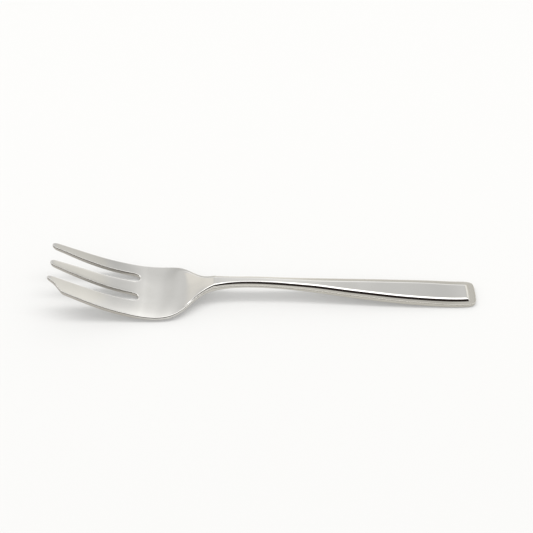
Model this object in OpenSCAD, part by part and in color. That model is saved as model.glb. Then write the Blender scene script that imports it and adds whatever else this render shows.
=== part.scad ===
// Pastry fork, stamped from one blank of stainless steel and polished all over.
// The blank is divided into six regions that meet face to face.
// The fork lies on its back: X runs from the tine tips to the end of the handle, Y towards the
// outer tine and Z up from the table. Zero is the middle of the fork on the table.

/* [Overall] */
// Length of the fork, from the tine tips to the end of the handle
fork_length = 150; // [120:1:190]
// Width of the head at its heel, from rim to rim
head_width = 25.4; // [20:0.2:32]
// Width across the two outer tines at their tips
tip_spread = 20.6; // [17:0.2:24]
// Width of the stem at its slimmest
stem_width = 4.9; // [3.6:0.1:7]
// Width of the handle near its end
handle_width = 11.8; // [8:0.2:16]
// Width of the handle at its very end
end_width = 11.3; // [7:0.1:16]

/* [Side view] */
// Height of the tine tips above the table
tip_rise = 16.8; // [8:0.2:26]
// Height of the top of the arched stem above the table
arch_rise = 8.5; // [5:0.25:14]
// Depth of the dish below the rims of the bowl
dish_depth = 0.6; // [0.2:0.1:2]
// Depth of the small flats that the fork rests on
rest_flat = 0.05; // [0.02:0.01:0.1]

/* [Places along the fork] */
// Distance of the slot ends from the tine tips
slot_length = 30.2; // [24:0.2:34]
// Distance of the heel, the lowest and widest place of the bowl, from the tips
heel_at = 37.5; // [36:0.5:40]
// Distance of the plane between bowl and neck from the tips
neck_at = 56; // [54:0.5:58]
// Distance of the slimmest place of the stem from the tips
waist_at = 66; // [63:0.5:70]
// Distance of the top of the arch from the tips
arch_at = 70; // [66:0.5:74]
// Distance of the plane between neck and handle from the tips
handle_at = 84; // [78:1:90]
// Distance of the handle's rest from its end
rest_inset = 9; // [8:0.5:16]

/* [Thickness] */
// Thickness of the tines at their tips
tip_thick = 1.2; // [0.9:0.05:1.8]
// Thickness of the bowl
bowl_thick = 1.6; // [1.2:0.05:2.4]
// Thickness of the stem at the top of the arch
stem_thick = 2; // [1.6:0.1:3.4]
// Thickness of the handle
handle_thick = 2.5; // [2:0.1:4]
// Radius of the long edges
edge_round = 0.4; // [0.2:0.05:0.5]

/* [Tines] */
// Width of the slots between the tines, and so of their round ends
slot_width = 3.5; // [2.4:0.1:4.4]
// Distance between the middles of the two slots
slot_pitch = 9.4; // [8.4:0.1:10.4]
// Offset of the middle tine from the middle of the fork
middle_offset = 1.7; // [0:0.1:2]
// Lean of the middle tine's tip towards the cutting tine
middle_lean = 0.4; // [0:0.1:0.8]
// Width of the middle tine near its tip
middle_tip_width = 1.5; // [1.2:0.1:2.4]
// Width of the outer tine near its tip
outer_tip_width = 1.7; // [1.2:0.1:2.4]
// Width of the cutting tine near its tip
cutting_tip_width = 1.5; // [1.2:0.1:2.4]
// Length of the notch ground off the outside of the cutting tine
notch_length = 5.4; // [3:0.2:9]
// Depth of that notch at the tip
notch_depth = 2.4; // [1:0.1:3.4]

/* [Handle panel] */
// Width of the frame around the raised panel, from the panel to the edge rounding
frame_width = 1.75; // [1.2:0.05:2.2]
// Width of the step from the panel down to the frame
step_width = 0.8; // [0.4:0.05:1]
// Height of that step
step_drop = 0.55; // [0.2:0.05:0.7]
// Further fall of the frame towards its outer edge
frame_fall = 0.08; // [0.02:0.01:0.2]
// Distance from the end of the panel to the end of the handle
panel_inset = 3.3; // [3:0.1:6]
// Radius of the two corners of the handle's end, seen from above
corner_round = 1.8; // [0.8:0.1:2.4]
// Bow of the handle's end
end_bow = 0.4; // [0:0.1:1]

/* [Fineness] */
// Length of one facet along the bowl, neck and handle
facet_length = 2; // [1.5:0.5:4]

/* [Hidden] */
steel = [0.79, 0.78, 0.76];

half_length = fork_length / 2;
heel_rise = bowl_thick + dish_depth;
rest_at = fork_length - rest_inset;
panel_end = fork_length - panel_inset;
frame_end = fork_length - edge_round;
slot_round = slot_width / 2;
// Middle lines of the two slots
outer_slot = middle_offset + slot_pitch / 2;
inner_slot = middle_offset - slot_pitch / 2;

// Rows of shares: how far along a stretch, and how far between the heights or widths at its ends
sweep_shares = [[0, 1], [0.24, 0.665], [0.48, 0.352], [0.72, 0.123], [0.88, 0.024]];
neck_rise_shares = [[0, 0], [0.1, 0.036], [0.26, 0.25], [0.42, 0.54], [0.58, 0.81], [0.74, 0.95], [0.88, 0.99]];
handle_fall_shares = [
    [0, 0], [0.1, 0.045], [0.2, 0.137], [0.32, 0.265], [0.4, 0.365], [0.5, 0.495], [0.6, 0.605],
    [0.7, 0.722], [0.84, 0.853], [0.94, 0.945], [1, 1]
];
head_taper_shares = [[0, 0], [0.25, 0.32], [0.5, 0.62], [0.75, 0.87], [1, 1]];
shoulder_shares = [
    [0.16, 0.05], [0.27, 0.16], [0.38, 0.395], [0.48, 0.685], [0.58, 0.85], [0.7, 0.93], [0.84, 0.98]
];
handle_swell_shares = [
    [0, 0], [0.1, 0.005], [0.2, 0.04], [0.28, 0.12], [0.36, 0.225], [0.43, 0.345], [0.52, 0.505],
    [0.61, 0.645], [0.71, 0.79], [0.85, 0.93], [0.94, 0.985], [1, 1]
];
dish_shares = [[0, 0.3], [0.5, 0.7], [0.9, 1], [1.1, 1], [1.3, 0.6], [1.5, 0.1]];
frame_shares = [[0, 0.3], [0.3, 0.55], [0.8, 0.95], [1, 1]];
middle_swell_shares = [[0, 0], [0.2, 0.24], [0.4, 0.54], [0.6, 0.75], [0.8, 0.92], [1, 1]];
cutting_inner_shares = [[0, 0], [0.2, 0.38], [0.4, 0.66], [0.7, 0.9], [1, 1]];
outer_inner_shares = [[0, 0.6], [0.3, 1], [0.7, 1], [1, 0]];
// How far the outer tine's inner edge stands out from the edge of its slot, as a share of the slot
outer_lean_share = 0.1;
// How far along the slots the outer tine's tip widens to that edge
outer_taper_share = 0.33;
// How much of its thickness a tine tip loses at its very end
tip_thinning_share = 0.3;
// How much of a slim tip's half width its edge rounding may take
tip_round_share = 0.8;
// Where the bowl's thickness ends between heel and neck, the stem's begins between neck and arch,
// and the handle's begins between arch and end
bowl_hold_share = 0.5;
stem_start_share = 0.3;
handle_start_share = 0.45;
// Length of one facet on the tines and on the curves of the bowl, against one on the handle
tine_facet_share = 0.9;
bowl_facet_share = 0.7;
// Length over which the bowl's even lines gather into the lines of the panel
gather_length = 6;
// Angle of the first section on a round tine tip, and the angles between sections and edge points
tip_angle = 25;
arc_step = 15;
round_step = 30;
// Strips from the middle of the bowl to its rim, and across a tine
dish_strips = 5;
tine_strips = 4;

function mix(a, b, share) = a + (b - a) * share;
function clamp(v) = max(0, min(1, v));
function ease(v) = let (q = clamp(v)) q * q * (3 - 2 * q);

// Height or width at a place, on a smooth curve through rows of [place, value]
function tangent(rows, i) =
    let (a = max(0, i - 1), b = min(len(rows) - 1, i + 1))
    (rows[b][1] - rows[a][1]) / (rows[b][0] - rows[a][0]);
function row_before(rows, place, i = 0) =
    i >= len(rows) - 2 || place < rows[i + 1][0] ? i : row_before(rows, place, i + 1);
function follow(rows, place) =
    let (
        i = row_before(rows, place),
        span = rows[i + 1][0] - rows[i][0],
        q = clamp((place - rows[i][0]) / span),
        q2 = q * q,
        q3 = q2 * q
    )
    rows[i][1] * (2 * q3 - 3 * q2 + 1) + rows[i + 1][1] * (3 * q2 - 2 * q3)
    + span * (tangent(rows, i) * (q3 - 2 * q2 + q) + tangent(rows, i + 1) * (q3 - q2));

// Side view: height of the rims in the head, and of the panel in neck and handle
rise_rows = [
    for (p = sweep_shares) [p[0] * heel_at, mix(heel_rise, tip_rise, p[1])],
    for (p = neck_rise_shares) [mix(heel_at, arch_at, p[0]), mix(heel_rise, arch_rise, p[1])],
    for (p = handle_fall_shares) [mix(arch_at, rest_at, p[0]), mix(arch_rise, handle_thick, p[1])],
    [fork_length, handle_thick]
];
// Plan view: half the width
width_rows = [
    for (p = head_taper_shares) [p[0] * heel_at, mix(tip_spread, head_width, p[1]) / 2],
    for (p = shoulder_shares) [mix(heel_at, waist_at, p[0]), mix(head_width, stem_width, p[1]) / 2],
    for (p = handle_swell_shares) [mix(waist_at, rest_at, p[0]), mix(stem_width, handle_width, p[1]) / 2],
    [fork_length, end_width / 2]
];
thick_rows = [
    [0, tip_thick],
    [slot_length, bowl_thick],
    [mix(heel_at, neck_at, bowl_hold_share), bowl_thick],
    [mix(neck_at, arch_at, stem_start_share), stem_thick],
    [arch_at, stem_thick],
    [mix(arch_at, fork_length, handle_start_share), handle_thick],
    [fork_length, handle_thick]
];
dish_rows = [for (p = dish_shares) [p[0] * heel_at, p[1] * dish_depth]];
frame_rows = [for (p = frame_shares) [mix(neck_at, handle_at, p[0]), p[1]]];

function slope(s) =
    let (a = max(0, s - facet_length / 2), b = min(fork_length, s + facet_length / 2))
    (follow(rise_rows, b) - follow(rise_rows, a)) / (b - a);
// Thickness measured straight down, which is more where the fork slopes
function depth(s) = follow(thick_rows, s) * sqrt(1 + pow(slope(s), 2));
function dish(s) = s > dish_rows[len(dish_rows) - 1][0] ? 0 : follow(dish_rows, s);
function half_width(s) =
    follow(width_rows, s) - (s > fork_length - corner_round
        ? corner_round - sqrt(pow(corner_round, 2) - pow(s - fork_length + corner_round, 2)) : 0);

// Height of the upper skin before the panel's relief, and of the underside
function skin(s, y) = follow(rise_rows, s) - dish(s) * (1 - pow(y / half_width(s), 2));
function underside(s, y) = max(0, skin(s, y) - depth(s) - rest_flat);

// How far the end of the handle rounds off, above and below
function end_round(s) =
    s > frame_end ? edge_round - sqrt(max(0, pow(edge_round, 2) - pow(s - frame_end, 2))) : 0;

// Places of the section's points from the middle to the start of the edge rounding:
// evenly over the dish, and at the panel's edge, the step and the frame on neck and handle
function framed(s) = follow(frame_rows, s);
function panel_half(s) = half_width(s) - edge_round - frame_width * framed(s);
function across(s) =
    let (
        inner = half_width(s) - edge_round,
        panel = panel_half(s),
        step = panel + step_width * framed(s),
        gathered = ease((s - neck_at + gather_length) / gather_length),
        flat = [0, panel / 2, panel, step, (step + inner) / 2]
    )
    [for (k = [0:dish_strips - 1]) mix(inner * k / dish_strips, flat[k], gathered)];

// Fall from the panel: down the step, then along the frame, at the sides and at the end
function fall(distance, frame) =
    step_drop * clamp(distance / step_width)
    + frame_fall * clamp((distance - step_width) / (frame - step_width));
function relief(s, y) =
    s < neck_at ? 0
    : framed(s) * max(
        fall((y - panel_half(s)) / framed(s), frame_width),
        fall(s - panel_end, panel_inset - edge_round)
    );

// One section of bowl, neck or handle, as a ring of points: over the top and back underneath
function half_top(s) =
    let (inner = half_width(s) - edge_round, z = skin(s, inner) - relief(s, inner) - end_round(s))
    [
        for (y = across(s)) [y, skin(s, y) - relief(s, y) - end_round(s)],
        for (a = [90:-round_step:0]) [inner + edge_round * cos(a), z - edge_round * (1 - sin(a))]
    ];
function half_under(s) =
    let (inner = half_width(s) - edge_round, z = underside(s, inner) + end_round(s))
    [
        for (y = across(s)) [y, underside(s, y) + end_round(s)],
        for (a = [90:-round_step:0]) [inner + edge_round * cos(a), z + edge_round * (1 - sin(a))]
    ];
function mirrored(half) = [
    for (i = [len(half) - 1:-1:1]) [-half[i][0], half[i][1]],
    for (p = half) p
];
function backwards(list) = [for (i = [len(list) - 1:-1:0]) list[i]];
function end_bow_at(s) = end_bow * ease((s - rest_at) / rest_inset);
function body_ring(s) =
    let (row = concat(mirrored(half_top(s)), backwards(mirrored(half_under(s)))))
    [for (p = row) [s - half_length - end_bow_at(s) * pow(p[0] / half_width(s), 2), p[0], p[1]]];

// How open a slot is beside its round end, and how full a tine is beside its round tip
function slot_opening(s) =
    s < slot_length - slot_round ? 1 : sqrt(max(0, 1 - pow(1 - (slot_length - s) / slot_round, 2)));
function tip_fullness(s, width) =
    s > width / 2 ? 1 : sin(acos(cos(tip_angle) * (1 - 2 * s / width)));

// Edges of the tines, from the near side to the far side
function along(s) = clamp(s / slot_length);
function notched_edge(s) = -half_width(s) + notch_depth * (1 - clamp(s / notch_length));
cutting_tip_edge = notched_edge(0) + cutting_tip_width;
function cutting_inner(s) =
    mix(inner_slot, mix(cutting_tip_edge, inner_slot - slot_round, follow(cutting_inner_shares, along(s))),
        slot_opening(s));
function middle_half(s) =
    mix(middle_tip_width, slot_pitch - slot_width, follow(middle_swell_shares, along(s))) / 2;
function middle_line(s) = middle_offset - middle_lean * (1 - along(s));
function middle_near(s) = mix(inner_slot, middle_line(s) - middle_half(s), slot_opening(s));
function middle_far(s) = mix(outer_slot, middle_line(s) + middle_half(s), slot_opening(s));
function outer_inner(s) =
    let (
        lean = slot_width * outer_lean_share * follow(outer_inner_shares, along(s)),
        edge = outer_slot + slot_round + lean,
        tip_edge = half_width(0) - outer_tip_width
    )
    mix(outer_slot, mix(tip_edge, edge, ease(along(s) / outer_taper_share)), slot_opening(s));

// One section of a tine between two edges, drawn in at its round tip
function tine_ring(s, near, far, tip_width) =
    let (
        full = tip_fullness(s, tip_width),
        middle = (near + far) / 2,
        half = (far - near) / 2 * full,
        inner = half - min(edge_round, half * tip_round_share),
        corner = half - inner,
        thin = follow(thick_rows, s) * tip_thinning_share * (1 - full),
        ys = [for (k = [0:tine_strips]) middle + inner * (2 * k / tine_strips - 1)],
        top = [for (y = ys) [y, skin(s, y) - thin]],
        under = [for (y = ys) [y, underside(s, y) + thin]],
        last = tine_strips
    )
    [
        for (p = concat(
            [for (a = [0:round_step:90 - round_step])
                [top[0][0] - corner * cos(a), top[0][1] - corner * (1 - sin(a))]],
            top,
            [for (a = [90 - round_step:-round_step:0])
                [top[last][0] + corner * cos(a), top[last][1] - corner * (1 - sin(a))]],
            [for (a = [0:round_step:90 - round_step])
                [under[last][0] + corner * cos(a), under[last][1] + corner * (1 - sin(a))]],
            backwards(under),
            [for (a = [90 - round_step:-round_step:0])
                [under[0][0] - corner * cos(a), under[0][1] + corner * (1 - sin(a))]]
        )) [s - half_length, p[0], p[1]]
    ];

// Places of the sections along the fork: close together on the round ends, even between them
function evenly(from, to, step) =
    let (n = max(1, round((to - from) / step))) [for (i = [0:n - 1]) mix(from, to, i / n)];
function tine_places(tip_width) = [
    for (a = [tip_angle:arc_step:90 - arc_step / 2]) tip_width / 2 * (1 - cos(a) / cos(tip_angle)),
    each evenly(tip_width / 2, notch_length, facet_length * tine_facet_share),
    each evenly(notch_length, slot_length - slot_round, facet_length * tine_facet_share),
    for (a = [90:-arc_step:0]) slot_length - slot_round * (1 - cos(a))
];
handle_places = [
    each evenly(handle_at, panel_end, facet_length),
    panel_end,
    each evenly(panel_end + step_width, fork_length - corner_round, corner_round),
    for (a = [0:arc_step:90]) fork_length - corner_round * (1 - sin(a))
];

bowl_places = [each evenly(slot_length, neck_at, facet_length * bowl_facet_share), neck_at];
neck_places = [each evenly(neck_at, handle_at, facet_length), handle_at];

// A solid through rings of points, with its ends closed by strips from top to underside
module loft(rings) {
    n = len(rings[0]);
    last = len(rings) - 1;
    sides = [
        for (i = [0:last - 1], j = [0:n - 1])
            let (k = (j + 1) % n, a = i * n, b = a + n)
            each [[a + j, a + k, b + k], [a + j, b + k, b + j]]
    ];
    caps = [
        for (j = [0:n / 2 - 2])
            let (m = n - 1 - j, e = last * n)
            each [
                [j, m, m - 1],
                [j, m - 1, j + 1],
                [e + j, e + m - 1, e + m],
                [e + j, e + j + 1, e + m - 1]
            ]
    ];
    polyhedron([for (ring = rings) each ring], concat(sides, caps), convexity = 6);
}

module cutting_tine() {
    color(steel)
    loft([for (s = tine_places(cutting_tip_width))
        tine_ring(s, notched_edge(s), cutting_inner(s), cutting_tip_width)]);
}

module middle_tine() {
    color(steel)
    loft([for (s = tine_places(middle_tip_width))
        tine_ring(s, middle_near(s), middle_far(s), middle_tip_width)]);
}

module outer_tine() {
    color(steel)
    loft([for (s = tine_places(outer_tip_width))
        tine_ring(s, outer_inner(s), half_width(s), outer_tip_width)]);
}

module bowl() {
    color(steel)
    loft([for (s = bowl_places) body_ring(s)]);
}

module neck() {
    color(steel)
    loft([for (s = neck_places) body_ring(s)]);
}

module handle() {
    color(steel)
    loft([for (s = handle_places) body_ring(s)]);
}

cutting_tine();
middle_tine();
outer_tine();
bowl();
neck();
handle();
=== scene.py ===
import math
import bpy
import numpy
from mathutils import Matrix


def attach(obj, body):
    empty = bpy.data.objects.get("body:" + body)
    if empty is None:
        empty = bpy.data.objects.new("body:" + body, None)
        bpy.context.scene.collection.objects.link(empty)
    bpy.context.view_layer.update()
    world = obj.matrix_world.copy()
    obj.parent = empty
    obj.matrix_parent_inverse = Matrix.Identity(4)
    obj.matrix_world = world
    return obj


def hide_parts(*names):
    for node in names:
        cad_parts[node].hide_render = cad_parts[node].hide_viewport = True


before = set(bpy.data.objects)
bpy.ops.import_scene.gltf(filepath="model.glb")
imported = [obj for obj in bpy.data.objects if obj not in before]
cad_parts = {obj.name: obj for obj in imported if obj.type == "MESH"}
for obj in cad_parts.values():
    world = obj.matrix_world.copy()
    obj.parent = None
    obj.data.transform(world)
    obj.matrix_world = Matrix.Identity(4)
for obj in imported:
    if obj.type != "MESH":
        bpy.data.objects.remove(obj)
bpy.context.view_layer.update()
mm = 0.001   # sizes below are in millimetres, unless a note says otherwise

fork = {
    "length": 150,
    "headWidth": 25.34,
    "tipSpread": 21.6,
    "stemWidth": 4.9,
    "handleWidth": 11.8,
    "endWidth": 11.6,
    "endBow": 0.4,         # how far the corners of the handle's end lie back
    # seen from the side
    "tipRise": 16.8,
    "archRise": 8.5,
    "dishDepth": 0.6,
    "dishPower": 3,        # the higher, the flatter the middle and the steeper the rim
    "restFlat": 0.05,      # depth of the flats that the fork rests on
    # places along the fork, from the tips
    "slotLength": 30.2,
    "heelAt": 37.5,        # where the bowl is widest and lowest
    "waistAt": 66,         # where the stem is slimmest
    "archAt": 70,
    "handleAt": 84,        # where the panel has its full relief
    "restInset": 9,        # of the handle's rest, from its end
    # thickness of the steel
    "tipThick": 1.2,
    "tipThin": 0.15,       # how much is ground off above and below at the very tips
    "bowlThick": 1.6,
    "bowlThickTo": 46,
    "stemThick": 2.0,
    "stemThickFrom": 60,
    "handleThick": 2.5,
    "handleThickFrom": 106,
    # tines
    "slotWidth": 3.5,
    "slotPitch": 9.4,
    "middleOffset": 1.7,
    "middleLean": 0.4,
    "middleTip": 2.5,      # widths near the tips
    "outerTip": 2.5,
    "cuttingTip": 2.2,
    "outerTaperShare": 0.33,    # of the slots' length, where the outer tine's tip ends
    "outerBulge": 0.42,    # of the outer tine into the slot
    "notchLength": 5.4,
    "notchDepth": 3.4,
    "tipBackShare": 0.9,   # how far a round tip's corners lie back, of half its width
    "tipCurveShare": 0.8,  # how much of a half circle the tip takes
    "tipSpanShare": 0.8,   # how much of the tine's width is left at the tip
    # raised panel with the lower frame around it
    "panelAt": 57.7,       # where the panel starts, with a small step
    "startHeights": (0.46, 0.25),   # how far the neck's end and the panel's start lie above the rail
    "startLengths": (5, 8),
    "panelHalfMin": 0.3,
    "frameFrom": 43,       # where the frame starts to part from the rim
    "frameLeast": 0.4,     # share of the frame's width there
    "framePower": 1.2,     # the higher, the later it widens
    "holdWidth": 0.55,     # from the outline to the first line inside the edge rounding
    "holdShare": 0.3,      # the most of that, as a share of a slim strip's width
    "ringPlaces": (0, 0.55, 1.12, 1.3, 1.87, 1.97, 2.44, 2.58, 2.95),    # from the handle's side to the panel
    "endPlaces": (0, 0.55, 2.0, 2.2, 2.8, 2.9, 3.36, 3.54, 4.0),         # from the handle's end to the panel
    "ringDrops": (0.89, 0.865, 0.845, 0.84, 0.26, 0.215, 0.015, 0.004, 0),
    "ringCorners": (1.8, 1.3, 0.48, 0.44, 0.32, 0.3, 0.24, 0.22, 0.2),
    "footRing": 3,         # the line that stays sharp, at the foot of the frame's slope
    "endSpread": 0.35,     # how much wider the frame is by the handle's end
    "spreadFrom": 130,
    # rounding of the outlines, and the share of it that each place has
    "edgeRound": 0.4,
    "rounding": {"tines": 0.75, "tinesUnder": 0.7, "bowl": 1.3, "handle": 0.45, "under": 1.4},
    "roundFrom": 43,       # from here the bowl's rounding narrows to the handle's
    "roundTo": 50,
    "tipRounding": 0.75,   # share of that rounding near the tips, where the steel is thin
    "tipRoundTo": 4,
    "segments": 3,
    "chamfer": 0.36,       # profile of the rounding, from 0.25, flat, to 0.5, round
    "levels": 2,           # of subdivision
    # cut sides of the tines, which get painted shade, darker than their faces
    "sideSlope": 0.5,      # a face whose normal rises less than this belongs to a side
    "sideFrom": 26,        # from here the painted shade fades out
    "sideTo": 40,
}

# rows of (share of the way, share of the change) between the places and sizes above
sweepShares = [(0, 1), (0.24, 0.665), (0.48, 0.352), (0.72, 0.123), (0.88, 0.024)]
neckRiseShares = [(0, 0), (0.1, 0.036), (0.26, 0.25), (0.42, 0.54), (0.58, 0.81), (0.74, 0.95), (0.88, 0.99)]
handleFallShares = [(0, 0), (0.1, 0.045), (0.2, 0.137), (0.32, 0.265), (0.4, 0.365), (0.5, 0.495),
                    (0.6, 0.605), (0.7, 0.722), (0.84, 0.853), (0.94, 0.945), (1, 1)]
headTaperShares = [(0, 0), (0.25, 0.36), (0.5, 0.66), (0.75, 0.89), (1, 1)]
shoulderShares = [(0.16, 0.05), (0.27, 0.17), (0.38, 0.42), (0.48, 0.685), (0.58, 0.85), (0.7, 0.93),
                  (0.84, 0.98)]
handleSwellShares = [(0, 0), (0.1, 0.005), (0.2, 0.04), (0.28, 0.12), (0.36, 0.225), (0.43, 0.345),
                     (0.52, 0.505), (0.61, 0.645), (0.71, 0.79), (0.85, 0.93), (0.94, 0.985), (1, 1)]
dishShares = [(0, 0.3), (0.5, 0.7), (0.9, 1), (1.1, 1), (1.25, 0.88), (1.4, 0.42), (1.52, 0)]
notchShares = [(0, 1), (0.24, 1.03), (0.46, 0.86), (0.7, 0.46), (0.88, 0.18), (1, 0)]
reliefShares = [(0, 0), (0.07, 0.12), (0.12, 0.27), (0.17, 0.37), (0.24, 0.47), (0.33, 0.6), (0.42, 0.73),
                (0.54, 0.86), (0.72, 0.95), (1, 1)]
middleSwellShares = [(0, 0), (0.2, 0.38), (0.4, 0.64), (0.6, 0.8), (0.8, 0.93), (1, 1)]
cuttingInnerShares = [(0, 0), (0.2, 0.38), (0.4, 0.66), (0.7, 0.9), (1, 1)]


def mix(a, b, share):
    return a + (b - a) * share


def ease(value):
    q = max(0, min(1, value))
    return q * q * (3 - 2 * q)


def smoothCurve(rows):
    # a curve through the rows without a jump in its bend, so that reflections run smoothly over it
    place, value = (numpy.array(column, float) for column in zip(*rows))
    gap = numpy.diff(place)
    rise = numpy.diff(value) / gap
    matrix = numpy.eye(len(place))
    right = numpy.zeros(len(place))
    for i in range(1, len(place) - 1):
        matrix[i, i - 1:i + 2] = gap[i - 1], 2 * (gap[i - 1] + gap[i]), gap[i]
        right[i] = 6 * (rise[i] - rise[i - 1])
    bend = numpy.linalg.solve(matrix, right)

    def at(s):
        i = int(min(max(numpy.searchsorted(place, s) - 1, 0), len(gap) - 1))
        a = min(max(s, place[0]), place[-1]) - place[i]
        b = gap[i] - a
        return ((bend[i] * b ** 3 + bend[i + 1] * a ** 3) / (6 * gap[i])
                + (value[i] / gap[i] - bend[i] * gap[i] / 6) * b
                + (value[i + 1] / gap[i] - bend[i + 1] * gap[i] / 6) * a)
    return at


def stretch(start, end, low, high, shares):
    return [(mix(start, end, along), mix(low, high, share)) for along, share in shares]


heelRise = fork["bowlThick"] + fork["dishDepth"]
restAt = fork["length"] - fork["restInset"]
railHeight = smoothCurve(
    stretch(0, fork["heelAt"], heelRise, fork["tipRise"], sweepShares)
    + stretch(fork["heelAt"], fork["archAt"], heelRise, fork["archRise"], neckRiseShares)
    + stretch(fork["archAt"], restAt, fork["archRise"], fork["handleThick"], handleFallShares)
    + [(fork["length"], fork["handleThick"])])
halfWidth = smoothCurve(
    stretch(0, fork["heelAt"], fork["tipSpread"] / 2, fork["headWidth"] / 2, headTaperShares)
    + stretch(fork["heelAt"], fork["waistAt"], fork["headWidth"] / 2, fork["stemWidth"] / 2, shoulderShares)
    + stretch(fork["waistAt"], restAt, fork["stemWidth"] / 2, fork["handleWidth"] / 2, handleSwellShares)
    + [(fork["length"], fork["endWidth"] / 2)])
thickness = smoothCurve([
    (0, fork["tipThick"]),
    (fork["slotLength"], fork["bowlThick"]), (fork["bowlThickTo"], fork["bowlThick"]),
    (fork["stemThickFrom"], fork["stemThick"]), (fork["archAt"], fork["stemThick"]),
    (fork["handleThickFrom"], fork["handleThick"]), (fork["length"], fork["handleThick"])])
dishCurve = smoothCurve([(a * fork["heelAt"], b * fork["dishDepth"]) for a, b in dishShares])
reliefCurve = smoothCurve(reliefShares)
notchCurve = smoothCurve(notchShares)
middleSwell = smoothCurve(middleSwellShares)
cuttingInner = smoothCurve(cuttingInnerShares)
slotRound = fork["slotWidth"] / 2
outerSlot = fork["middleOffset"] + fork["slotPitch"] / 2
innerSlot = fork["middleOffset"] - fork["slotPitch"] / 2
panelEnd = fork["length"] - fork["endPlaces"][-1]


def dish(s):
    return 0 if s > dishShares[-1][0] * fork["heelAt"] else dishCurve(s)


def relief(s):
    # how much of the panel's full relief there is at a place
    start = fork["frameFrom"]
    return 0 if s < start else reliefCurve((s - start) / (fork["handleAt"] - start))


def crease(s):
    # the neck steepens to the panel's start, and the panel starts flatter, with a small step
    (neck, panel), (before, after) = fork["startHeights"], fork["startLengths"]
    if s < fork["panelAt"]:
        return neck * max(0, (s - fork["panelAt"]) / before + 1) ** 2
    return panel * max(0, 1 - (s - fork["panelAt"]) / after) ** 2


# the flat pattern: rows along the fork, lines across it from the cutting tine to the outer tine
pattern = {
    "slotColumns": 4,
    "middleColumns": 2,
    "tineRows": [0, 1.25, 2.5, 3.7, 4.7, 5.4, 6.2, 7.6, 9.6, 11.8, 14.2, 16.8, 19.4, 22, 24.4, 26.6],
    "slotEndRows": [(-0.2, 1.2), (1.4, 0.7), (3.2, 0.25)],   # past the slots' ends, and how far they bulge
    "slotEndBack": 0.01,   # the row beside the slots' ends follows the tines as they are this far back
    "bowlRows": [35.4, 37.4, 39.4, 41.4, 43.2, 45, 46.8, 48.6, 50.4, 52.2, 53.8, 55.2, 56.4, 57.1],
    "creaseRows": (-0.15, 0, 0.25, 1.1),   # past the panel's start, close together to keep its step crisp
    "stemFrom": 60,        # from here the rows are evenly spaced
    "stemTo": 3.2,         # up to this far before the panel's end
    "stemCount": 34,
    "cornerRow": 1.3,      # before the panel's end
    "settleLength": 9,     # over which the lines spread out evenly behind the slots
    "gatherFrom": 40,      # from here they gather in the frame
    "gatherLength": 9,
    "slopeReach": 1,       # before and after a place, to find the slope there
    "castDepth": 30,       # how far below the upper side the lower one is made, before it is laid in place
    "mergeWithin": 0.02,
    "wallSlope": 0.25,     # a face whose normal rises less than this stands upright
    "underSlope": -0.3,    # one whose normal is lower than this looks down
}
rings = len(fork["ringPlaces"]) - 1
slotColumns = pattern["slotColumns"]
middleColumns = pattern["middleColumns"]
inner = 2 * slotColumns + middleColumns
lines = 2 * rings + inner
slotRow = len(pattern["tineRows"])


def bodyRows():
    # rows behind the tines, each with its place and how far it bulges round the slots' ends
    rows = [(fork["slotLength"] - slotRound, slotRound)]
    rows += [(fork["slotLength"] + past, bulge) for past, bulge in pattern["slotEndRows"]]
    rows += [(s, 0) for s in pattern["bowlRows"]]
    rows += [(fork["panelAt"] + past, 0) for past in pattern["creaseRows"]]
    end = panelEnd - pattern["stemTo"]
    count = pattern["stemCount"]
    rows += [(mix(pattern["stemFrom"], end, k / (count - 1)), 0) for k in range(count)]
    rows += [(panelEnd - pattern["cornerRow"], 0), (panelEnd, 0)]
    return rows


rowsOfBody = bodyRows()
lastRow = slotRow + len(rowsOfBody) - 1


def slotBulge(line):
    # how far round a slot's end a line of the pattern lies, and 0 outside the slots
    for first in (rings, rings + slotColumns + middleColumns):
        if first <= line <= first + slotColumns:
            return math.sin(math.pi * (line - first) / slotColumns)
    return 0


def notchedEdge(s):
    return -halfWidth(s) + fork["notchDepth"] * notchCurve(min(1, s / fork["notchLength"]))


def tineEdges(s):
    along = min(1, s / fork["slotLength"])
    cuttingTipEdge = notchedEdge(0) + fork["cuttingTip"]
    cutting = mix(cuttingTipEdge, innerSlot - slotRound, cuttingInner(along))
    half = mix(fork["middleTip"], fork["slotPitch"] - fork["slotWidth"], middleSwell(along)) / 2
    middle = fork["middleOffset"] - fork["middleLean"] * (1 - along)
    outerRoot = outerSlot + slotRound - fork["outerBulge"] * math.sin(math.pi * along)
    outer = mix(halfWidth(0) - fork["outerTip"], outerRoot, ease(along / fork["outerTaperShare"]))
    return [(notchedEdge(s), cutting), (middle - half, middle + half), (outer, halfWidth(s))]


def between(start, end, columns, hold):
    # places of the lines across a strip, with a line near each side where there is room
    if columns < 4:
        return [mix(start, end, k / columns) for k in range(columns + 1)]
    hold = min(hold, fork["holdShare"] * (end - start))
    middle = [mix(start + hold, end - hold, k / (columns - 2)) for k in range(columns - 1)]
    return [start] + middle + [end]


def roundPlaces(start, end):
    # lines across a slot, closer together at its sides, so that they go evenly round its end
    turns = [math.pi * k / slotColumns for k in range(1, slotColumns)]
    return [mix(start, end, (1 - math.cos(turn)) / 2) for turn in turns]


def tineLines(s):
    cutting, middle, outer = tineEdges(s)
    return (between(*cutting, rings, fork["holdWidth"]) + roundPlaces(cutting[1], middle[0])
            + between(*middle, middleColumns, 0) + roundPlaces(middle[1], outer[0])
            + between(*outer, rings, fork["holdWidth"]))


def ringPlace(ring, s):
    # how far a ring of the frame lies inside the outline, where there is room for it
    spread = fork["endSpread"] * ease((s - fork["spreadFrom"]) / (panelEnd - fork["spreadFrom"]))
    return fork["ringPlaces"][ring] + (spread if ring > 1 else 0)


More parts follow.
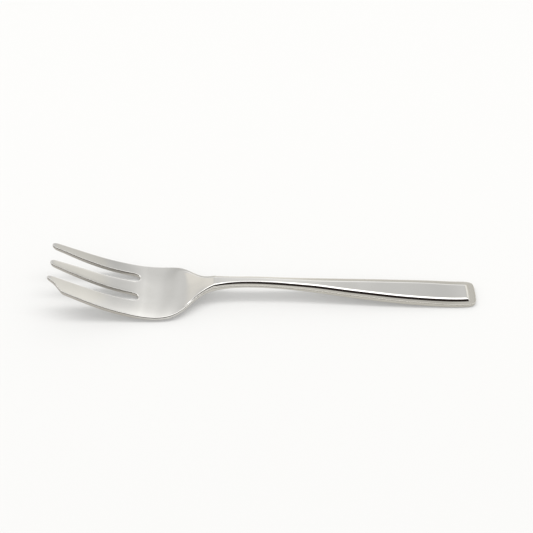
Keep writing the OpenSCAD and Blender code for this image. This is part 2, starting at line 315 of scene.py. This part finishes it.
def panelLines(s):
    half = halfWidth(s)
    hold = fork["holdWidth"]
    places = [ringPlace(ring, s) for ring in range(rings + 1)]
    room = (half - fork["panelHalfMin"] - hold) / (places[-1] - hold)
    scale = min(1, room) * max(fork["frameLeast"], max(0, relief(s)) ** fork["framePower"])
    side = [half - (place if place <= hold else hold + (place - hold) * scale) for place in places]
    middle = [mix(-side[-1], side[-1], k / inner) for k in range(1, inner)]
    return [-y for y in side] + middle + side[::-1]


def evenLines(s):
    return between(-halfWidth(s), halfWidth(s), lines, fork["holdWidth"])


def bodyLines(s):
    settled = ease((s - fork["slotLength"]) / pattern["settleLength"])
    gathered = ease((s - pattern["gatherFrom"]) / pattern["gatherLength"])
    root = min(s, fork["slotLength"])
    scale = halfWidth(s) / halfWidth(root)
    return [mix(mix(tine * scale, even, settled), panel, gathered)
            for tine, even, panel in zip(tineLines(root), evenLines(s), panelLines(s))]


def cornerPlace(ring, turn):
    # a place on the rounded corner of one of the rings round the panel's end
    radius = fork["ringCorners"][ring]
    middleX = fork["length"] - fork["endPlaces"][ring] - radius
    middleY = halfWidth(middleX) - ringPlace(ring, middleX) - radius
    return middleX + radius * math.sin(turn), middleY + radius * math.cos(turn)


def ringOf(line):
    return min(line, lines - line, rings)


def tipPlace(y):
    # a place on the round tip of the tine whose first row has a line at y
    near, far = min(tineEdges(0), key=lambda edges: abs(y - sum(edges) / 2))
    half = (far - near) / 2
    across = (y - near) / half - 1
    back = 1 - math.sqrt(1 - fork["tipCurveShare"] * across * across)
    return fork["tipBackShare"] * half * back, near + half * (1 + fork["tipSpanShare"] * across)


def planPlace(row, line):
    # distance from the tips and from the middle line of a crossing of the pattern
    ring = ringOf(line)
    panelCorner = line in (rings, rings + inner)
    if row == 0:
        return tipPlace(tineLines(0)[line])
    if row < slotRow:
        s = pattern["tineRows"][row]
        return s, tineLines(s)[line]
    if row > lastRow:
        ring = rings - (row - lastRow)
    if row > lastRow and not panelCorner:
        s, y = cornerPlace(ring, math.pi / 2)
        return s, mix(-y, y, (line - rings - 1) / (inner - 2))
    if row > lastRow or row == lastRow and (ring < rings or panelCorner):
        s, y = cornerPlace(ring, math.pi / 4)
        return s, (-y if line < lines / 2 else y)
    base, bulge = rowsOfBody[row - slotRow]
    s = base + bulge * slotBulge(line)
    if row in (lastRow - 1, lastRow - 2) and ring < rings:
        share = 1 if row == lastRow - 1 else 0.5
        s += share * (cornerPlace(ring, 0)[0] - cornerPlace(rings, 0)[0])
    if base > fork["slotLength"]:
        return s, bodyLines(s)[line]
    if slotBulge(line):
        return s, bodyLines(fork["slotLength"])[line]
    return s, tineLines(base if row == slotRow else fork["slotLength"] - pattern["slotEndBack"])[line]


def dropOf(row, line):
    # how far a crossing lies below the panel
    if row > lastRow:
        return fork["ringDrops"][rings - (row - lastRow)]
    if row < slotRow:
        return 0
    return fork["ringDrops"][ringOf(line)]


def slopeAt(s):
    before = max(s - pattern["slopeReach"], 0)
    after = min(s + pattern["slopeReach"], fork["length"])
    return (railHeight(after) - railHeight(before)) / (after - before)


def liePlace(row, line):
    # place of a crossing on the upper side, and the height of the lower side there, in metres
    s, y = planPlace(row, line)
    across = y / halfWidth(s)
    skin = railHeight(s) - dish(s) * (1 - abs(across) ** fork["dishPower"])
    depth = thickness(s) * math.sqrt(1 + slopeAt(s) ** 2)
    top = skin + crease(s) - dropOf(row, line) * relief(s)
    under = max(0, skin - depth - fork["restFlat"])
    thin = fork["tipThin"] * max(0, 1 - s) if row == 0 else 0
    bow = fork["endBow"] * ease((s - restAt) / fork["restInset"]) * across ** 2
    return (s - bow - fork["length"] / 2) * mm, y * mm, (top - thin) * mm, (under + thin) * mm


def selectOnly(test, faces=False):
    # selects the crossings, or faces, of the pattern that pass a test, in edit mode
    bpy.ops.object.mode_set(mode="EDIT")
    bpy.ops.mesh.select_all(action="DESELECT")
    bpy.ops.object.mode_set(mode="OBJECT")
    mesh = bpy.context.object.data
    for part in (mesh.polygons if faces else mesh.vertices):
        part.select = test(part.center if faces else part.co)
    bpy.ops.object.mode_set(mode="EDIT")


def inSlot(centre):
    column = centre.y
    slots = ((rings, rings + slotColumns), (rings + slotColumns + middleColumns, rings + inner))
    return centre.x < slotRow and any(a < column < b for a, b in slots)


def onPanelEnd(place):
    return place.x > lastRow - 0.5 and rings - 0.5 < place.y < rings + inner + 0.5


def buildBlank():
    # the flat pattern, one unit for each row and line, with rings round the panel's end
    bpy.ops.object.select_all(action="DESELECT")
    bpy.ops.mesh.primitive_grid_add(x_subdivisions=lastRow, y_subdivisions=lines, size=1)
    blank = bpy.context.object
    blank.name = "pastry_fork"
    bpy.ops.object.mode_set(mode="EDIT")
    bpy.ops.transform.resize(value=(lastRow, lines, 1))
    bpy.ops.transform.translate(value=(lastRow / 2, lines / 2, 0))
    bpy.ops.mesh.select_mode(type="FACE")
    selectOnly(inSlot, faces=True)
    bpy.ops.mesh.delete(type="FACE")
    bpy.ops.mesh.select_mode(type="VERT")
    selectOnly(onPanelEnd)
    bpy.ops.mesh.select_mode(type="EDGE")
    for _ in range(rings):
        bpy.ops.mesh.extrude_edges_move(TRANSFORM_OT_translate={"value": (1, 0, 0)})
    bpy.ops.mesh.select_mode(type="VERT")
    bpy.ops.object.mode_set(mode="OBJECT")
    markFrame(blank.data)
    print("pattern:", len(blank.data.vertices), "crossings")
    return blank


def layBlank(blank):
    # the pattern is laid over the fork's upper side, and its lower side and walls are extruded
    places = [liePlace(round(v.co.x), round(v.co.y)) for v in blank.data.vertices]
    for vertex, place in zip(blank.data.vertices, places):
        vertex.co = place[:3]
    bpy.ops.object.mode_set(mode="EDIT")
    bpy.ops.mesh.select_all(action="SELECT")
    bpy.ops.mesh.remove_doubles(threshold=pattern["mergeWithin"] * mm)   # closes the frame's mitres
    bpy.ops.mesh.extrude_region_move(TRANSFORM_OT_translate={"value": (0, 0, -pattern["castDepth"] * mm)})
    bpy.ops.object.mode_set(mode="OBJECT")
    under = {(round(x / mm, 3), round(y / mm, 3)): z for x, y, _, z in places}
    for vertex in blank.data.vertices:
        if vertex.co.z < 0:
            vertex.co.z = under[(round(vertex.co.x / mm, 3), round(vertex.co.y / mm, 3))]
    bpy.ops.object.mode_set(mode="EDIT")
    bpy.ops.mesh.select_all(action="SELECT")
    bpy.ops.mesh.normals_make_consistent(inside=False)
    bpy.ops.object.mode_set(mode="OBJECT")
    print("blank:", len(blank.data.polygons), "faces")


def buildFork():
    blank = buildBlank()
    layBlank(blank)
    weighEdges(blank.data)
    rounding = blank.modifiers.new("rounding", "BEVEL")
    rounding.limit_method = "WEIGHT"
    rounding.width = fork["edgeRound"] * mm
    rounding.segments = fork["segments"]
    rounding.profile = fork["chamfer"]
    rounding.use_clamp_overlap = False
    bpy.ops.object.modifier_apply(modifier=rounding.name)
    markSides(blank.data)
    smooth = blank.modifiers.new("smooth", "SUBSURF")
    smooth.levels = fork["levels"]
    smooth.render_levels = fork["levels"]
    bpy.ops.object.modifier_apply(modifier=smooth.name)
    bpy.ops.object.shade_smooth()
    print("fork:", len(blank.data.polygons), "faces")
    return blank


def markFrame(mesh):
    # while the blank is a flat pattern: the foot of the frame's slope stays sharp, and the frame is marked
    def ringAt(vertex):
        row, line = round(vertex.co.x), round(vertex.co.y)
        return rings - (row - lastRow) if row > lastRow else ringOf(line)

    depth = mesh.attributes.new("frame_depth", "FLOAT", "POINT")   # 1 on the frame and the wall beside it
    for vertex in mesh.vertices:
        if ringAt(vertex) <= fork["footRing"] and vertex.co.x > slotRow:
            s = planPlace(round(vertex.co.x), round(vertex.co.y))[0]
            depth.data[vertex.index].value = min(1, relief(s))
    creases = mesh.attributes.new("crease_edge", "FLOAT", "EDGE")
    sharp = mesh.attributes.new("sharp_edge", "BOOLEAN", "EDGE")
    start = next(k for k, row in enumerate(rowsOfBody) if row[0] >= fork["panelAt"]) + slotRow
    for edge in mesh.edges:
        ends = [mesh.vertices[k] for k in edge.vertices]
        if all(ringAt(v) == fork["footRing"] and v.co.x > start - 0.5 for v in ends):
            creases.data[edge.index].value = 1
            sharp.data[edge.index].value = True


def markSides(mesh):
    # the cut sides of the tines are marked for painted shade, darker than their faces
    depth = mesh.attributes.new("side_depth", "FLOAT", "POINT")
    for face in mesh.polygons:
        s = face.center.x / mm + fork["length"] / 2
        if abs(face.normal.z) < fork["sideSlope"] and s < fork["sideTo"]:
            for k in face.vertices:
                depth.data[k].value = min(1, (fork["sideTo"] - s) / (fork["sideTo"] - fork["sideFrom"]))


def roundingAt(s, below):
    # share of the rounding on an outline above or below
    shares = fork["rounding"]
    thin = fork["tipRounding"] if s < fork["tipRoundTo"] else 1
    if below:
        along = (s - fork["slotLength"] + slotRound) / fork["slotWidth"]
        return mix(shares["tinesUnder"], shares["under"], ease(along)) * thin
    if s < fork["slotLength"]:
        return shares["tines"] * thin
    along = (s - fork["roundFrom"]) / (fork["roundTo"] - fork["roundFrom"])
    return mix(shares["bowl"], shares["handle"], ease(along))


def weighEdges(mesh):
    # the outlines, where an upright face meets one that isn't, get a weight for the rounding
    rises = {}
    for face in mesh.polygons:
        for key in face.edge_keys:
            rises.setdefault(key, []).append(face.normal.z)
    weights = mesh.attributes.new("bevel_weight_edge", "FLOAT", "EDGE")
    for edge in mesh.edges:
        upright = {abs(rise) < pattern["wallSlope"] for rise in rises[edge.key]}
        if len(upright) == 2:
            s = mesh.vertices[edge.vertices[0]].co.x / mm + fork["length"] / 2
            below = min(rises[edge.key]) < pattern["underSlope"]
            weights.data[edge.index].value = roundingAt(s, below)


class Wire:   # a socket that a shader sum can use like a number
    def __init__(self, graph, socket):
        self.graph = graph
        self.socket = socket

    def sum(self, operation, first, second):
        return self.graph.add("Math", {"operation": operation}, {0: first, 1: second})

    def __add__(self, other):
        return self.sum("ADD", self, other)

    def __radd__(self, other):
        return self.sum("ADD", other, self)

    def __sub__(self, other):
        return self.sum("SUBTRACT", self, other)

    def __rsub__(self, other):
        return self.sum("SUBTRACT", other, self)

    def __mul__(self, other):
        return self.sum("MULTIPLY", self, other)

    def __rmul__(self, other):
        return self.sum("MULTIPLY", other, self)

    def __truediv__(self, other):
        return self.sum("DIVIDE", self, other)

    def __rtruediv__(self, other):
        return self.sum("DIVIDE", other, self)


class Graph:   # the nodes of a material or of the world
    def __init__(self, owner):
        owner.use_nodes = True
        self.tree = owner.node_tree
        self.tree.nodes.clear()

    def add(self, kind, settings=None, sockets=None, output=0):
        node = self.tree.nodes.new("ShaderNode" + kind)
        for name, value in (settings or {}).items():
            if name == "stops":
                self.setStops(node.color_ramp, value)
            else:
                setattr(node, name, value)
        for name, value in (sockets or {}).items():
            if isinstance(value, Wire):
                self.tree.links.new(value.socket, node.inputs[name])
            else:
                node.inputs[name].default_value = value
        return Wire(self, node.outputs[output]) if len(node.outputs) else None

    def setStops(self, ramp, stops):
        while len(ramp.elements) > 1:
            ramp.elements.remove(ramp.elements[-1])
        for k, (place, colour) in enumerate(stops):
            stop = ramp.elements[0] if k == 0 else ramp.elements.new(place)
            stop.position = place
            stop.color = colour if isinstance(colour, tuple) else (colour, colour, colour, 1)

    def rise(self, value, low, high):
        # from 0 to 1 as the value goes from low to high, with soft ends
        return self.add("MapRange", {"interpolation_type": "SMOOTHSTEP"},
                        {"Value": value, "From Min": low, "From Max": high})

    def blend(self, factor, first, second, kind="MIX"):
        # 6 and 7 are the sockets that a Mix node has for colours
        return self.add("Mix", {"data_type": "RGBA", "blend_type": kind},
                        {"Factor": factor, 6: first, 7: second}, output=2)


camera = {
    "target": (0.605, 14.92, 0),
    "distance": 442.8,
    "elevation": 45,       # degrees above the floor
    "focalPixels": 1210,   # focal length in pixels of the picture
    "pictureWidth": 533,   # pixels
    "clipStart": 10,
}


def addCamera():
    tilt = math.radians(camera["elevation"])
    x, y, z = camera["target"]
    back = camera["distance"]
    place = (x * mm, (y - back * math.cos(tilt)) * mm, (z + back * math.sin(tilt)) * mm)
    bpy.ops.object.camera_add(location=place, rotation=(math.pi / 2 - tilt, 0, 0))
    view = bpy.context.object
    view.name = "camera"
    view.data.lens = camera["focalPixels"] / camera["pictureWidth"] * view.data.sensor_width
    view.data.clip_start = camera["clipStart"] * mm
    bpy.context.scene.camera = view
    bpy.context.scene.view_settings.view_transform = "Standard"


studio = {
    "floorSize": 6000,
    "floorColour": (0.46, 0.458, 0.452, 1),
    "floorGlow": (0.235, 0.234, 0.23, 1),   # of a floor that is lit from below too
    "floorRoughness": 0.5,
    "stripSize": (1500, 320),   # along the fork, and across it
    "stripPlace": (0, -100, 1000),
    "stripWatts": 2.7,
    "keySize": (1500, 220),     # a lamp for the shadows, which the steel doesn't show
    "keyPlace": (0, 60, 1000),
    "keyWatts": 6.15,
    "tentStops": [(0, 1), (0.3, 1.02), (0.5, 1.05), (0.65, 1.08), (0.85, 1.25), (1, 1.4)],   # by height
    "tentLean": 0.3,       # share by which it is brighter behind the fork, and darker on the camera's side
    "tentBrightest": 2,    # what the tent's ramp calls 1
}


def addTent():
    world = bpy.data.worlds.new("tent")
    bpy.context.scene.world = world
    graph = Graph(world)
    direction = graph.add("TexCoord", output="Generated")
    back, up = (graph.add("SeparateXYZ", {}, {0: direction}, output=k) for k in (1, 2))
    most = studio["tentBrightest"]
    stops = [(place, level / most) for place, level in studio["tentStops"]]
    light = graph.add("ValToRGB", {"stops": stops}, {"Fac": up})
    strength = (1 + back * studio["tentLean"]) * most
    background = graph.add("Background", {}, {"Color": light, "Strength": strength})
    graph.add("OutputWorld", {}, {"Surface": background})


def addFloor():
    bpy.ops.object.select_all(action="DESELECT")
    bpy.ops.mesh.primitive_plane_add(size=studio["floorSize"] * mm, location=(0, 0, 0))
    floor = bpy.context.object
    floor.name = "floor"
    paper = bpy.data.materials.new("paper")
    graph = Graph(paper)
    lit = graph.add("BsdfDiffuse", {}, {"Color": studio["floorColour"],
                                        "Roughness": studio["floorRoughness"]})
    glow = graph.add("Emission", {}, {"Color": studio["floorGlow"], "Strength": 1})
    graph.add("OutputMaterial", {}, {"Surface": graph.add("AddShader", {}, {0: lit, 1: glow})})
    paper.cycles.emission_sampling = "NONE"
    floor.data.materials.append(paper)


def addLamps():
    for name in ("strip", "key"):
        bpy.ops.object.light_add(type="AREA", location=[v * mm for v in studio[name + "Place"]])
        lamp = bpy.context.object
        lamp.name = name + "_light"
        lamp.data.shape = "RECTANGLE"
        lamp.data.size, lamp.data.size_y = (side * mm for side in studio[name + "Size"])
        lamp.data.energy = studio[name + "Watts"]
        lamp.visible_glossy = name == "strip"


backBoard = {
    "size": (1400, 900),
    "distance": 480,
    "light": 1.08,
    # light along the board, from its left end
    "acrossStops": [(0, (0.91, 0.885, 0.84, 1)), (0.18, (0.92, 0.895, 0.85, 1)),
                    (0.206, (0.89, 0.87, 0.83, 1)), (0.214, (0.79, 0.775, 0.75, 1)),
                    (0.222, 0.72), (0.3, 0.77), (0.35, 0.82), (0.403, 0.87), (0.463, 1), (0.517, 1.03),
                    (0.544, 1.08), (0.565, 0.98), (0.577, 0.95), (0.592, 0.86), (0.608, 0.81),
                    (0.632, 0.75), (0.645, 0.75),
                    (0.675, (0.765, 0.755, 0.725, 1)), (1, (0.78, 0.77, 0.74, 1))],
    "fanTop": 1.66,        # the pattern across the board is wider at its foot, as a fan
    "fanFall": 1.665,
    "fanKnee": (0.4, 0.865),    # below this height it widens less, by this much
    "evenLight": 1.15,     # up the left end of the board, where the light doesn't change with height
    "evenRange": (0.22, 0.35),
    "heightStops": [(0, 1.45), (0.2, 1.45), (0.27, 1.45), (0.31, 1.52), (0.37, 1.32), (0.42, 1.17),
                    (0.47, 1.06), (0.53, 1), (0.62, 0.89), (0.7, 0.85), (1, 0.85)],
}
frontBoard = {
    "size": (1700, 1180),
    "distance": 480,
    "foot": 50,            # above the floor
    "light": (0.03, 0.022, 0.02, 1),
    "footLight": (0.75, 0.74, 0.72, 1),
    "footRange": (90, 210),    # heights between which the light at its foot fades out
}


def addBoard(name, size, distance, foot):
    # an upright board that only the steel sees, and the graph of its glow
    bpy.ops.object.select_all(action="DESELECT")
    width, height = (side * mm for side in size)
    bpy.ops.mesh.primitive_plane_add(size=1)
    board = bpy.context.object
    board.name = name
    bpy.ops.object.mode_set(mode="EDIT")
    bpy.ops.transform.resize(value=(width, height, 1))
    bpy.ops.transform.rotate(value=math.pi / 2, orient_axis="X", center_override=(0, 0, 0))
    bpy.ops.transform.translate(value=(0, distance * mm, foot * mm + height / 2))
    bpy.ops.object.mode_set(mode="OBJECT")
    glow = bpy.data.materials.new(name + "_light")
    graph = Graph(glow)
    glow.cycles.emission_sampling = "NONE"
    board.data.materials.append(glow)
    board.visible_camera = False
    board.visible_diffuse = False
    board.visible_shadow = False
    return graph


def addBackBoard():
    # soft light behind the fork
    width, height = (side * mm for side in backBoard["size"])
    graph = addBoard("back_board", backBoard["size"], backBoard["distance"], 0)
    place = graph.add("TexCoord", output="Object")
    x, z = (graph.add("SeparateXYZ", {}, {0: place}, output=k) for k in (0, 2))
    share = z / height
    knee, less = backBoard["fanKnee"]
    low = graph.add("Math", {"operation": "MAXIMUM"}, {0: knee - share, 1: 0})
    along = x / width * (backBoard["fanTop"] - share * backBoard["fanFall"] - low * less) + 0.5
    across = graph.add("ValToRGB", {"stops": backBoard["acrossStops"]}, {"Fac": along})
    up = graph.add("ValToRGB", {"stops": backBoard["heightStops"]}, {"Fac": share})
    even = [backBoard["evenLight"]] * 3 + [1]
    up = graph.blend(graph.rise(along, *backBoard["evenRange"]), even, up)
    light = graph.blend(1, across, up, "MULTIPLY")
    glow = graph.add("Emission", {}, {"Color": light, "Strength": backBoard["light"]})
    graph.add("OutputMaterial", {}, {"Surface": glow})


def addFrontBoard():
    # the dark room on the camera's side, lighter near the floor
    graph = addBoard("front_board", frontBoard["size"], -frontBoard["distance"], frontBoard["foot"])
    place = graph.add("TexCoord", output="Object")
    height = graph.add("SeparateXYZ", {}, {0: place}, output=2)
    dark = graph.rise(height, *(level * mm for level in frontBoard["footRange"]))
    light = graph.blend(dark, frontBoard["footLight"], frontBoard["light"])
    glow = graph.add("Emission", {}, {"Color": light, "Strength": 1})
    graph.add("OutputMaterial", {}, {"Surface": glow})


# scales are per metre, and a range is where a noise goes from none to full
steelLook = {
    "colour": (0.63, 0.62, 0.595, 1),
    "grainRoughness": 0.55,    # of every noise below
    "smudgeColour": (0.6, 0.59, 0.56, 1),
    "smudgeScale": (110, 110, 110),
    "smudgeRange": (0.42, 0.72),
    "smudgeStrength": 0.6,
    "polishScale": (260, 5200, 5200),
    "polishTurn": 0.04,        # radians from the fork's length
    "polishShade": 0.03,
    "polishDepth": 0.0000012,  # metres
    # turn, scale and noise level of each set of scratches
    "scratches": [(0.21, (70, 9000, 9000), 0.715), (-0.3, (90, 11000, 9000), 0.73),
                  (1.25, (120, 10000, 9000), 0.745)],
    "scratchEdge": 0.03,       # noise from a scratch's side to its middle
    "scratchRoughness": 0.16,
    "scratchShade": 0.07,
    "scratchDepth": 0.8,       # share of the polishing's
    "patchScale": (45, 60, 60),    # of the patches that are scratched
    "patchTurn": 0.8,
    "patchRange": (0.4, 0.62),
    "roughness": (0.045, 0.085),
    "frameShadeTint": (0.87, 0.85, 0.805, 1),   # painted shade and warm painted reflection on the frame and the wall beside it, darker and warmer than the panel
    "frameRoughness": 0.06,
    "sideShadeTint": (0.74, 0.715, 0.68, 1),    # painted shade on the cut sides of the tines
    "wornHeight": (0.0022, 0.0004),    # the underside is worn from here down to the table, in metres
    "wornRoughness": 0.22,
}


def steelMaterial():
    # polished steel with traces of the polishing, fine scratches, faint smudges and a worn underside, with
    # painted shade and painted reflection on the frame and painted shade on the tines' cut sides
    look = steelLook
    steel = bpy.data.materials.new("polished_steel")
    graph = Graph(steel)
    place = graph.add("TexCoord", output="Object")
    height = graph.add("SeparateXYZ", {}, {0: place}, output=2)

    def grain(scale, turn=0, detail=2):
        moved = graph.add("Mapping", {}, {"Vector": place, "Rotation": (0, 0, turn), "Scale": scale})
        return graph.add("TexNoise", {}, {"Vector": moved, "Scale": 1, "Detail": detail,
                                          "Roughness": look["grainRoughness"]})

    smudge = graph.rise(grain(look["smudgeScale"], detail=3), *look["smudgeRange"])
    polish = grain(look["polishScale"], look["polishTurn"])
    scratch = sum(graph.rise(grain(scale, turn, 0), level, level + look["scratchEdge"])
                  for turn, scale, level in look["scratches"])
    scratch = scratch * graph.rise(grain(look["patchScale"], look["patchTurn"]), *look["patchRange"])
    worn = graph.rise(height, *look["wornHeight"])
    frameDepth = graph.add("Attribute", {"attribute_name": "frame_depth"}, output=2)
    sideDepth = graph.add("Attribute", {"attribute_name": "side_depth"}, output=2)

    low, high = look["roughness"]
    rough = (low + (high - low) * (smudge + polish) / 2 + scratch * look["scratchRoughness"]
             + worn * polish * look["wornRoughness"] + frameDepth * look["frameRoughness"])
    shade = 1 - scratch * look["scratchShade"] - (polish - 0.5) * look["polishShade"]
    colour = graph.blend(smudge * look["smudgeStrength"], look["colour"], look["smudgeColour"])
    colour = graph.blend(1, colour, shade, "MULTIPLY")
    # painted shade and warm painted reflection on the frame and the wall beside it
    colour = graph.blend(frameDepth, colour, look["frameShadeTint"], "MULTIPLY")
    # painted shade on the cut sides of the tines
    colour = graph.blend(sideDepth, colour, look["sideShadeTint"], "MULTIPLY")
    relief = polish - scratch * look["scratchDepth"]
    normal = graph.add("Bump", {}, {"Height": relief, "Distance": look["polishDepth"], "Strength": 1})
    shader = graph.add("BsdfPrincipled", {}, {"Base Color": colour, "Metallic": 1, "Roughness": rough,
                                              "Normal": normal})
    graph.add("OutputMaterial", {}, {"Surface": shader})
    return steel


addCamera()
addTent()
addFloor()
addLamps()
addBackBoard()
addFrontBoard()
print("studio: camera, tent, floor, lamps and boards")
pastryFork = buildFork()
pastryFork.data.materials.append(steelMaterial())
print("steel: polished, with scratches, smudges and a worn underside")
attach(pastryFork, "root")
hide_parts("cutting_tine", "middle_tine", "outer_tine", "bowl", "neck", "handle")
